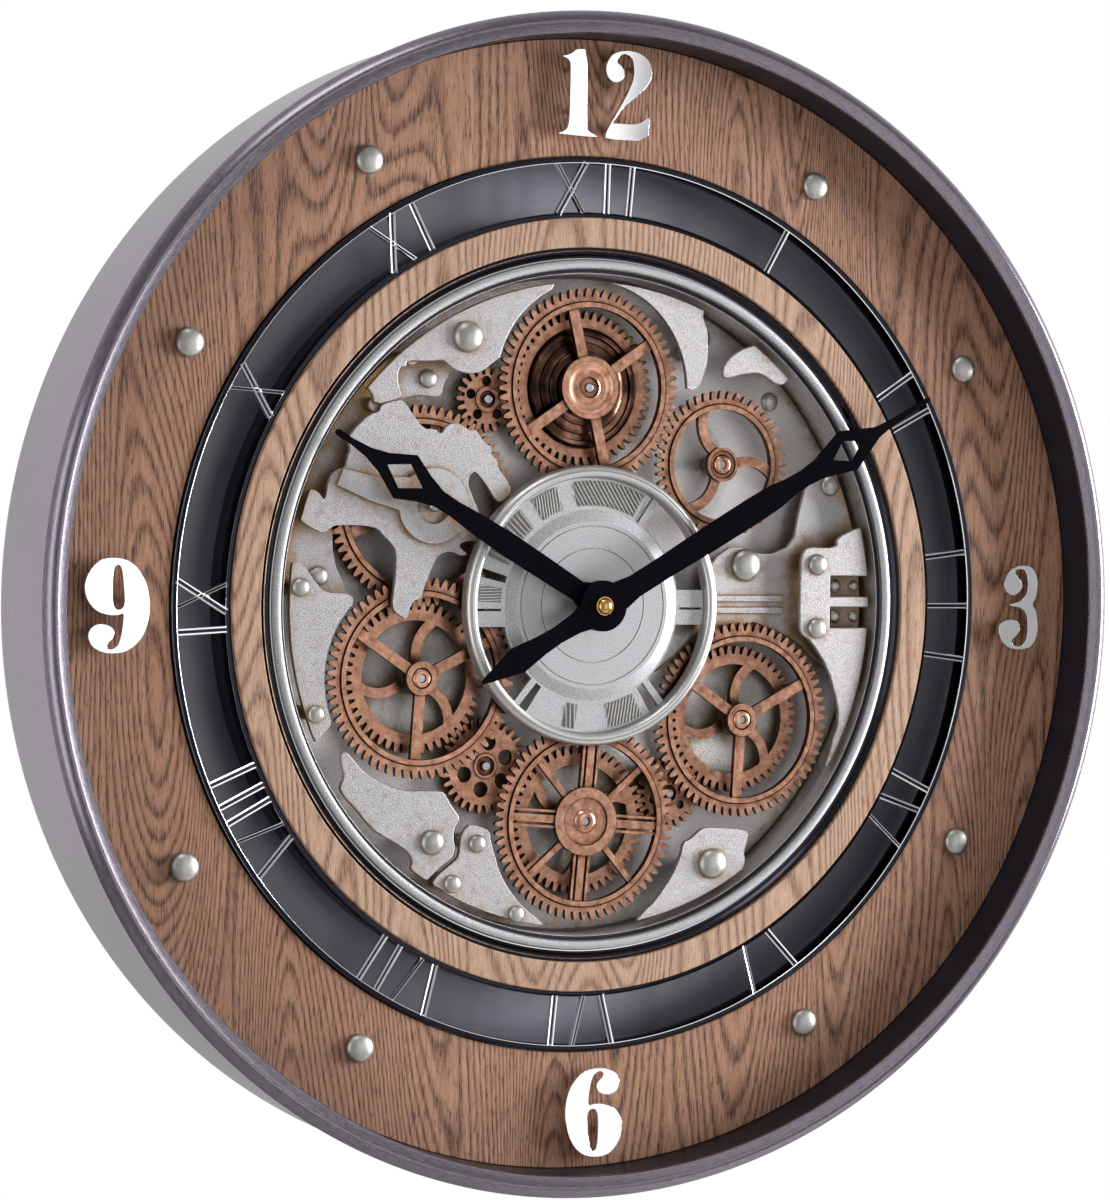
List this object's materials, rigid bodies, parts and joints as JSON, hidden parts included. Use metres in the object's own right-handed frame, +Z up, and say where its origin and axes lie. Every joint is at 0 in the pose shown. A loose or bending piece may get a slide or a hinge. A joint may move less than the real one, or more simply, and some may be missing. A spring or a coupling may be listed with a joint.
{
  "type": "gear wall clock",
  "caption": "Round wall clock with a wood dial ring, Roman chapter ring and an open central well of meshing gears behind two hands",
  "frame": {"origin": "centre of the clock on the wall plane, on the axis of the hands", "axes": "+Z up, +X to the right as seen from the front, the dial looks along -Y and the wall plane is Y = 0"},
  "size_m": [0.6, 0.077, 0.6],
  "materials": {
    "pewter_case": "brushed pewter",
    "black_liner": "glossy black enamel",
    "outer_wood": "matte brown oak",
    "inner_wood": "matte light oak",
    "nickel": "satin nickel",
    "chrome": "mirror polish",
    "dark_chrome": "dark polish",
    "pan_grey": "dark grey satin",
    "textured_silver": "sand textured silver with aged edges",
    "brushed_silver": "brushed",
    "copper": "antique copper",
    "dark_copper": "dark antique copper",
    "steel": "plain steel",
    "black_hand": "matte black",
    "brass": "polished",
    "black_plastic": "moulded",
    "white_plastic": "moulded",
    "black_board": "black painted board",
    "cell_jacket": "plain jacket"
  },
  "bodies": {
    "case": {"case_ring": "pewter_case", "inner_liner": "black_liner", "outer_wood_ring": "outer_wood", "hour_studs": "nickel", "numeral_12": "chrome", "numeral_3": "chrome", "numeral_6": "chrome", "numeral_9": "chrome", "dial_pan": "pan_grey", "drum_ring": "pan_grey", "chapter_ring": "chrome", "inner_wood_ring": "inner_wood", "well_trim_ring": "dark_chrome", "well_bezel": "textured_silver", "gear_base": "textured_silver", "centre_support": "pan_grey", "centre_disc": "brushed_silver", "centre_wire_ring": "chrome", "plate_upper_left": "textured_silver", "plate_top": "textured_silver", "plate_islet": "textured_silver", "plate_right": "textured_silver", "plate_lower_right": "textured_silver", "plate_bottom": "textured_silver", "plate_lower_left": "textured_silver", "plate_left": "textured_silver", "right_deck": "textured_silver", "left_deck": "textured_silver", "star_plate": "textured_silver", "plate_pillars": "brushed_silver", "plate_rivets": "nickel", "gear_pins": "steel", "movement_housing": "black_plastic", "aa_cells": "cell_jacket", "drive_housing": "black_plastic", "back_panel": "black_board", "pan_spacers": "steel", "back_screws": "steel", "hanger_plate": "steel"},
    "upper_gear": {"upper_gear_front_wheel": "copper", "upper_gear_rear_wheel": "copper", "upper_gear_barrel": "dark_copper", "drive_arbor": "steel"},
    "right_gear": {"right_gear": "copper"},
    "left_gear": {"left_gear_front_wheel": "copper", "left_gear_rear_wheel": "dark_copper"},
    "lower_right_gear": {"lower_right_gear_front_wheel": "copper", "lower_right_gear_rear_wheel": "dark_copper"},
    "lower_gear": {"lower_gear_front_wheel": "copper", "lower_gear_rear_wheel": "dark_copper"},
    "upper_pinion": {"upper_pinion": "dark_copper"},
    "left_pinion": {"left_pinion": "dark_copper"},
    "lower_pinion": {"lower_pinion": "dark_copper"},
    "side_gear": {"side_gear": "copper"},
    "hour_hand": {"hour_hand": "black_hand"},
    "minute_hand": {"minute_hand": "black_hand", "hand_nut": "brass"},
    "set_knob": {"set_knob": "black_plastic"},
    "drive_lid": {"drive_lid": "black_plastic"},
    "drive_switch": {"drive_switch": "white_plastic"}
  },
  "joints": [
    {"name": "upper_gear_spin", "type": "hinge", "parent": "case", "child": "upper_gear", "pos_m": [0, -0.04, 0.11148], "axis": [0, 1, 0], "continuous": true},
    {"name": "right_gear_spin", "type": "hinge", "parent": "case", "child": "right_gear", "pos_m": [0.07798, -0.04, 0.07345], "axis": [0, 1, 0], "continuous": true},
    {"name": "upper_pinion_spin", "type": "hinge", "parent": "case", "child": "upper_pinion", "pos_m": [-0.05376, -0.04, 0.1044], "axis": [0, 1, 0], "continuous": true},
    {"name": "side_gear_spin", "type": "hinge", "parent": "case", "child": "side_gear", "pos_m": [-0.0892, -0.04, 0.04983], "axis": [0, 1, 0], "continuous": true},
    {"name": "left_gear_spin", "type": "hinge", "parent": "case", "child": "left_gear", "pos_m": [-0.09238, -0.04, -0.03687], "axis": [0, 1, 0], "continuous": true},
    {"name": "left_pinion_spin", "type": "hinge", "parent": "case", "child": "left_pinion", "pos_m": [-0.05258, -0.04, -0.08233], "axis": [0, 1, 0], "continuous": true},
    {"name": "lower_gear_spin", "type": "hinge", "parent": "case", "child": "lower_gear", "pos_m": [0.00047, -0.04, -0.11126], "axis": [0, 1, 0], "continuous": true},
    {"name": "lower_pinion_spin", "type": "hinge", "parent": "case", "child": "lower_pinion", "pos_m": [0.05322, -0.04, -0.09869], "axis": [0, 1, 0], "continuous": true},
    {"name": "lower_right_gear_spin", "type": "hinge", "parent": "case", "child": "lower_right_gear", "pos_m": [0.09143, -0.04, -0.06021], "axis": [0, 1, 0], "continuous": true},
    {"name": "minute_hand_spin", "type": "hinge", "parent": "case", "child": "minute_hand", "pos_m": [0, -0.04, 0], "axis": [0, 1, 0], "continuous": true},
    {"name": "hour_hand_spin", "type": "hinge", "parent": "case", "child": "hour_hand", "pos_m": [0, -0.04, 0], "axis": [0, 1, 0], "continuous": true},
    {"name": "set_knob_spin", "type": "hinge", "parent": "case", "child": "set_knob", "pos_m": [0, -0.04, 0], "axis": [0, 1, 0], "continuous": true},
    {"name": "drive_lid_slide", "type": "slide", "parent": "case", "child": "drive_lid", "axis": [0, 0, -1], "range_m": [0, 0.034]},
    {"name": "drive_switch_slide", "type": "slide", "parent": "case", "child": "drive_switch", "axis": [1, 0, 0], "range_m": [0, 0.0042]}
  ],
  "couplings": [
    {"joint": "right_gear_spin", "follows": "upper_gear_spin", "ratio": -1.3333},
    {"joint": "upper_pinion_spin", "follows": "upper_gear_spin", "ratio": -2.5},
    {"joint": "side_gear_spin", "follows": "upper_gear_spin", "ratio": 0.78125},
    {"joint": "left_gear_spin", "follows": "upper_gear_spin", "ratio": -1.0417},
    {"joint": "left_pinion_spin", "follows": "upper_gear_spin", "ratio": 1.6667},
    {"joint": "lower_gear_spin", "follows": "upper_gear_spin", "ratio": -1.0417},
    {"joint": "lower_pinion_spin", "follows": "upper_gear_spin", "ratio": 2.2727},
    {"joint": "lower_right_gear_spin", "follows": "upper_gear_spin", "ratio": -1.0417},
    {"joint": "hour_hand_spin", "follows": "minute_hand_spin", "ratio": 0.083333},
    {"joint": "set_knob_spin", "follows": "minute_hand_spin", "ratio": -3}
  ]
}
